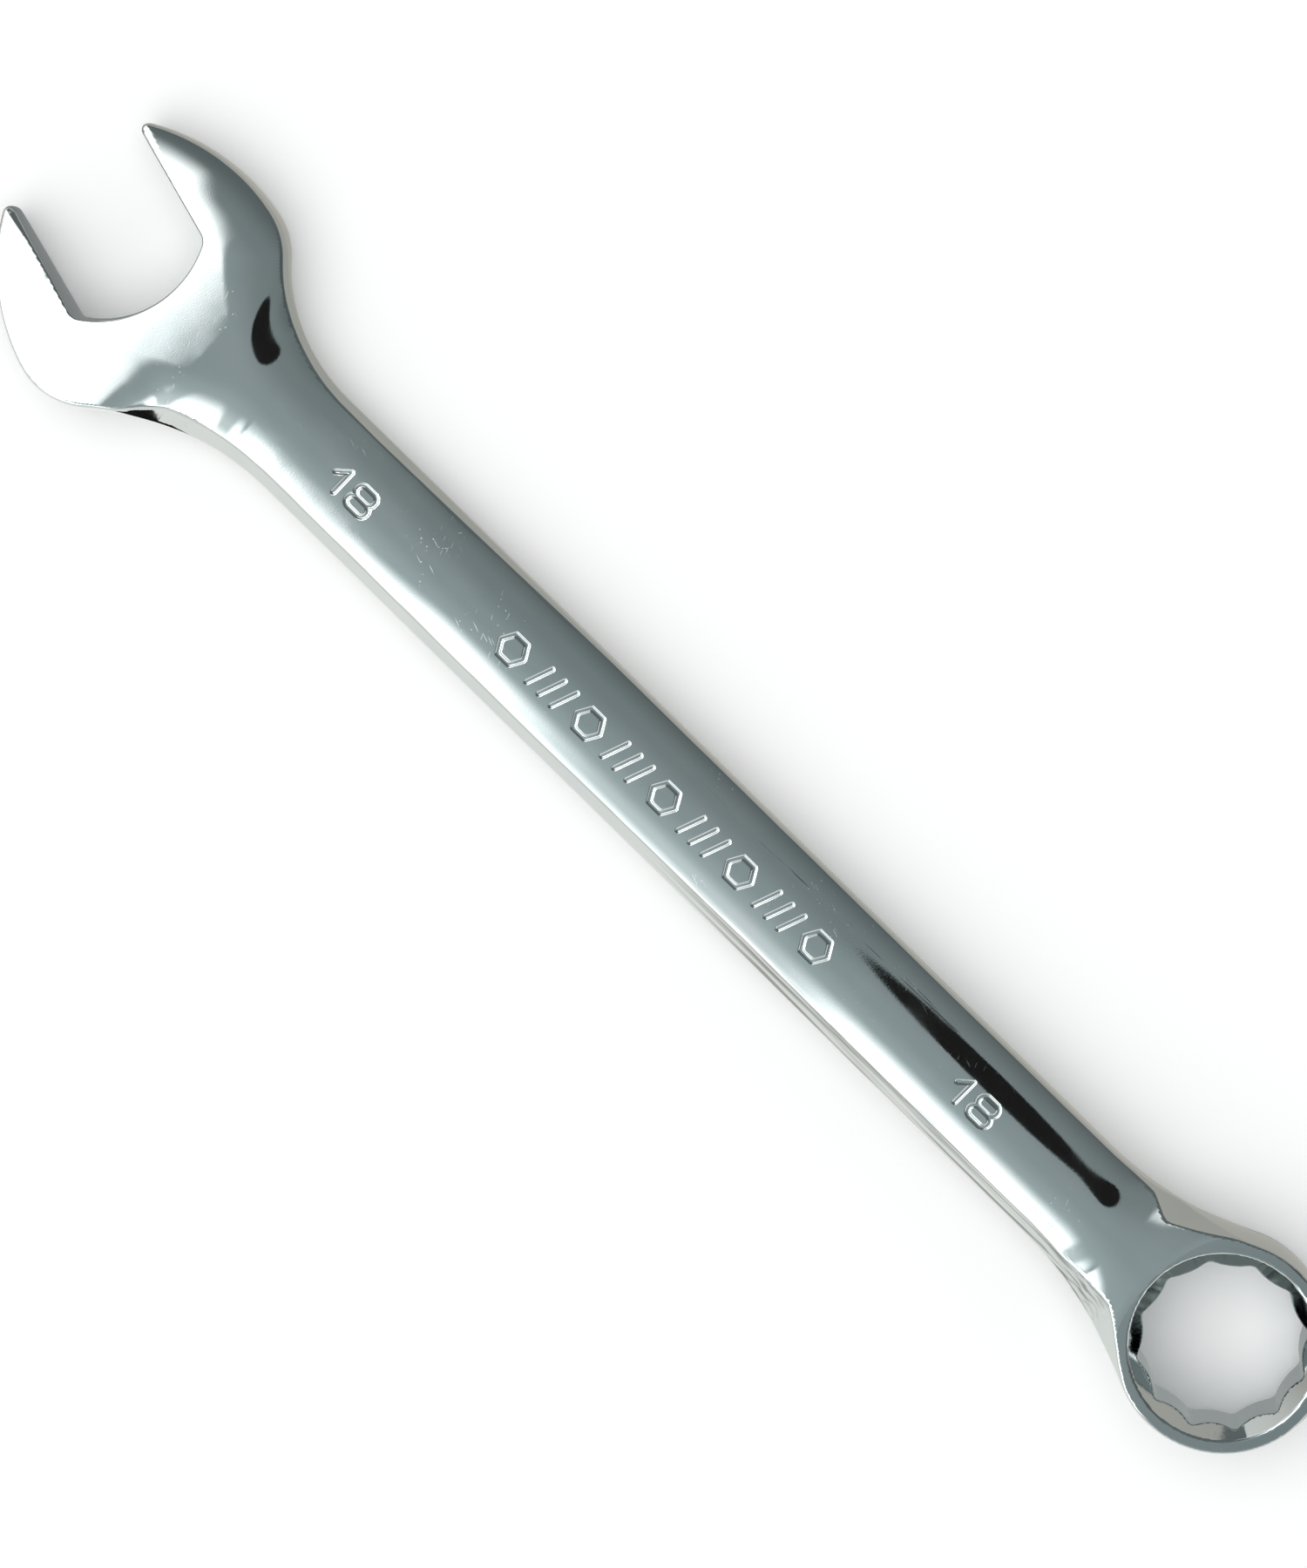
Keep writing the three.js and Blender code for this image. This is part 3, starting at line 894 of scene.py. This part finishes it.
def sky_glow(x, y):
    """Colour of the cloth overhead: grey, darker towards +Y, with two soft lit regions."""
    cloth = eased(y, [(-200, 0.52), (-60, 0.4), (120, 0.28), (290, 0.16)])
    cloth = cloth * eased(x, [(140, 1.0), (200, 0.75)])

    # A lit band towards -Y, over the whole wrench but weaker above the middle of the shank.
    between = eased(y, [(-380, 1.0), (-290, 0.22)])
    along = eased(x, [(-80, 1.0), (-35, 0.0), (26, 0.0), (62, 1.0)])
    bend = eased(x, [(-155, 45), (-138, -40), (-100, 0)])
    band = eased(y - bend, [(-285, 1.0), (-175, 0.0)]) * (between + (1 - between) * along)
    band = band * eased(x, [(150, 1.0), (220, 0.0)])

    # A lit region beyond the open end, which ends in a soft edge towards +Y.
    limit = eased(x, [(-235, 170), (-177, 60)])
    head = eased(x, [(-183, 1.0), (-154, 0.0)]) * eased(y - limit, [(-90, 1.0), (60, 0.0)])

    lit = np.maximum(BAND_LEVEL * band, HEAD_LEVEL * head)
    return cloth[:, None] * np.array(CLOTH_COLOUR) + lit[:, None]


def add_sky():
    """The cloth overhead, as a level net whose corners carry its brightness."""
    count = 2 * SKY_HALF // SKY_SPACING + 1
    places = np.linspace(-SKY_HALF, SKY_HALF, count)
    x, y = (grid.ravel() for grid in np.meshgrid(places, places))
    points = np.stack([x, y, np.full_like(x, SKY_HEIGHT)], 1) * MM
    starts = [row * count + column for row in range(count - 1) for column in range(count - 1)]
    faces = [(i, i + 1, i + count + 1, i + count) for i in starts]
    mesh = bpy.data.meshes.new("sky")
    mesh.from_pydata(points.tolist(), [], faces)
    glow = mesh.attributes.new("glow", "FLOAT_COLOR", "POINT")
    colours = np.insert(sky_glow(x, y), 3, 1.0, axis=1)
    glow.data.foreach_set("color", colours.astype(np.float32).ravel())
    mesh.materials.append(glow_material("sky", (1, 1, 1), "glow"))
    sky = bpy.data.objects.new("sky", mesh)
    bpy.context.scene.collection.objects.link(sky)
    only_reflected(sky)


def only_reflected(piece):
    """Shows a piece of the stage in the chrome and nowhere else."""
    piece.visible_camera = False
    piece.visible_diffuse = False
    piece.visible_shadow = False


def card(name, outline, height, material):
    """A level card, in mm."""
    return sheet(name, [(x, y, height) for x, y in outline], material)


def sheet(name, corners, material):
    """A flat sheet with those corners, in mm."""
    mesh = bpy.data.meshes.new(name)
    mesh.from_pydata([Vector(corner) * MM for corner in corners], [], [range(len(corners))])
    mesh.materials.append(material)
    piece = bpy.data.objects.new(name, mesh)
    bpy.context.scene.collection.objects.link(piece)
    return piece


def box_outline(x_range, y_range):
    """Corners of a box, given its two ranges."""
    (x0, x1), (y0, y1) = x_range, y_range
    return [(x0, y0), (x1, y0), (x1, y1), (x0, y1)]


def oval_outline(centre, half_x, half_y, count=40):
    """Points round an oval."""
    turns = [2 * math.pi * i / count for i in range(count)]
    return [(centre[0] + half_x * math.cos(a), centre[1] + half_y * math.sin(a)) for a in turns]


FLOOR_HALF = 3000
TABLE_HEIGHT = -1.2  # just under the floor
PATCH_HEIGHT = -1.0  # patches on the reflected table, just above it
TABLE_SPLIT = -2  # where the reflected table goes from its bright front to its grey back
FRONT_HALF = box_outline((-FLOOR_HALF, FLOOR_HALF), (-FLOOR_HALF, TABLE_SPLIT))
BACK_HALF = box_outline((-FLOOR_HALF, FLOOR_HALF), (TABLE_SPLIT, FLOOR_HALF))
UNDER_MOUTH = box_outline((-120, -84), (-14, 14))
BESIDE_NECK = box_outline((-77.5, -72.6), (-21, -14))
UNDER_BORE = oval_outline((RING_X, 0), RING_RADIUS, RING_RADIUS)
TABLE_TONES = [
    ("table_front", FRONT_HALF, TABLE_HEIGHT, (0.95, 0.95, 0.92)),
    # painted shade: the back half of the reflected table, towards +Y and away from the light, is
    # dimmer than the front
    ("shaded_table_back", BACK_HALF, TABLE_HEIGHT, WARM_GREY),
    # painted shade: a dim patch of the reflected table under the mouth, where the table lies in the
    # wrench's shadow
    ("shaded_table_mouth", UNDER_MOUTH, PATCH_HEIGHT, (0.26, 0.27, 0.27)),
    ("table_spot", BESIDE_NECK, PATCH_HEIGHT, (0.01, 0.01, 0.01)),
    # painted shade: a grey patch of the reflected table inside the ring, where the floor lies in
    # the ring's shadow
    ("shaded_table_bore", UNDER_BORE, PATCH_HEIGHT, (0.36, 0.38, 0.38)),
]

WALL_Y = 850
WALL_HALF = 1400
WALL_STEP = 200  # height at which the wall's low, warm part meets its dark part
WALL_TONES = [
    ("wall_low", (-2, WALL_STEP), WARM_GREY),
    ("wall_high", (WALL_STEP, SKY_HEIGHT), (0.15, 0.165, 0.17)),
]

DARK_CARD = oval_outline((91, 73), 50, 58)
DARK_CARD_HEIGHT = 600  # just below the cloth


def add_floor():
    everywhere = box_outline((-FLOOR_HALF, FLOOR_HALF), (-FLOOR_HALF, FLOOR_HALF))
    floor = card("floor", everywhere, 0, plain_material("floor", (0.9, 0.9, 0.9), 0.8))
    floor.visible_glossy = False


def add_reflected_cards():
    """Toned cards that only the chrome shows: the table, the wall behind and one dark card."""
    for name, outline, height, colour in TABLE_TONES:
        only_reflected(card(name, outline, height, glow_material(name, colour)))
    for name, z_range, colour in WALL_TONES:
        corners = [(x, WALL_Y, z) for x, z in box_outline((-WALL_HALF, WALL_HALF), z_range)]
        only_reflected(sheet(name, corners, glow_material(name, colour)))
    add_sky()
    black = plain_material("black", (0.002, 0.002, 0.002), 0.9)
    only_reflected(card("dark_card", DARK_CARD, DARK_CARD_HEIGHT, black))


def add_lamp():
    """One large soft lamp overhead, in metres. It lights the floor and isn't seen in the chrome."""
    fill = bpy.data.lights.new("fill", "AREA")
    fill.size = 2.5
    fill.energy = 26
    fill.color = (1.0, 0.975, 0.96)
    lamp = bpy.data.objects.new("fill", fill)
    lamp.location = (-0.15, -0.2, 1.4)
    lamp.rotation_euler = Vector(lamp.location).to_track_quat("Z", "Y").to_euler()
    lamp.visible_glossy = False
    bpy.context.scene.collection.objects.link(lamp)


# ---------------------------------------------------------------- putting it together

wrench = build_forging()
wrench.data.materials.append(chrome_material())
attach(wrench, "root")
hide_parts("open_end", "shank", "ring_end")

add_floor()
add_reflected_cards()
add_lamp()
add_world()
add_camera()
bpy.context.scene.view_settings.view_transform = "Standard"
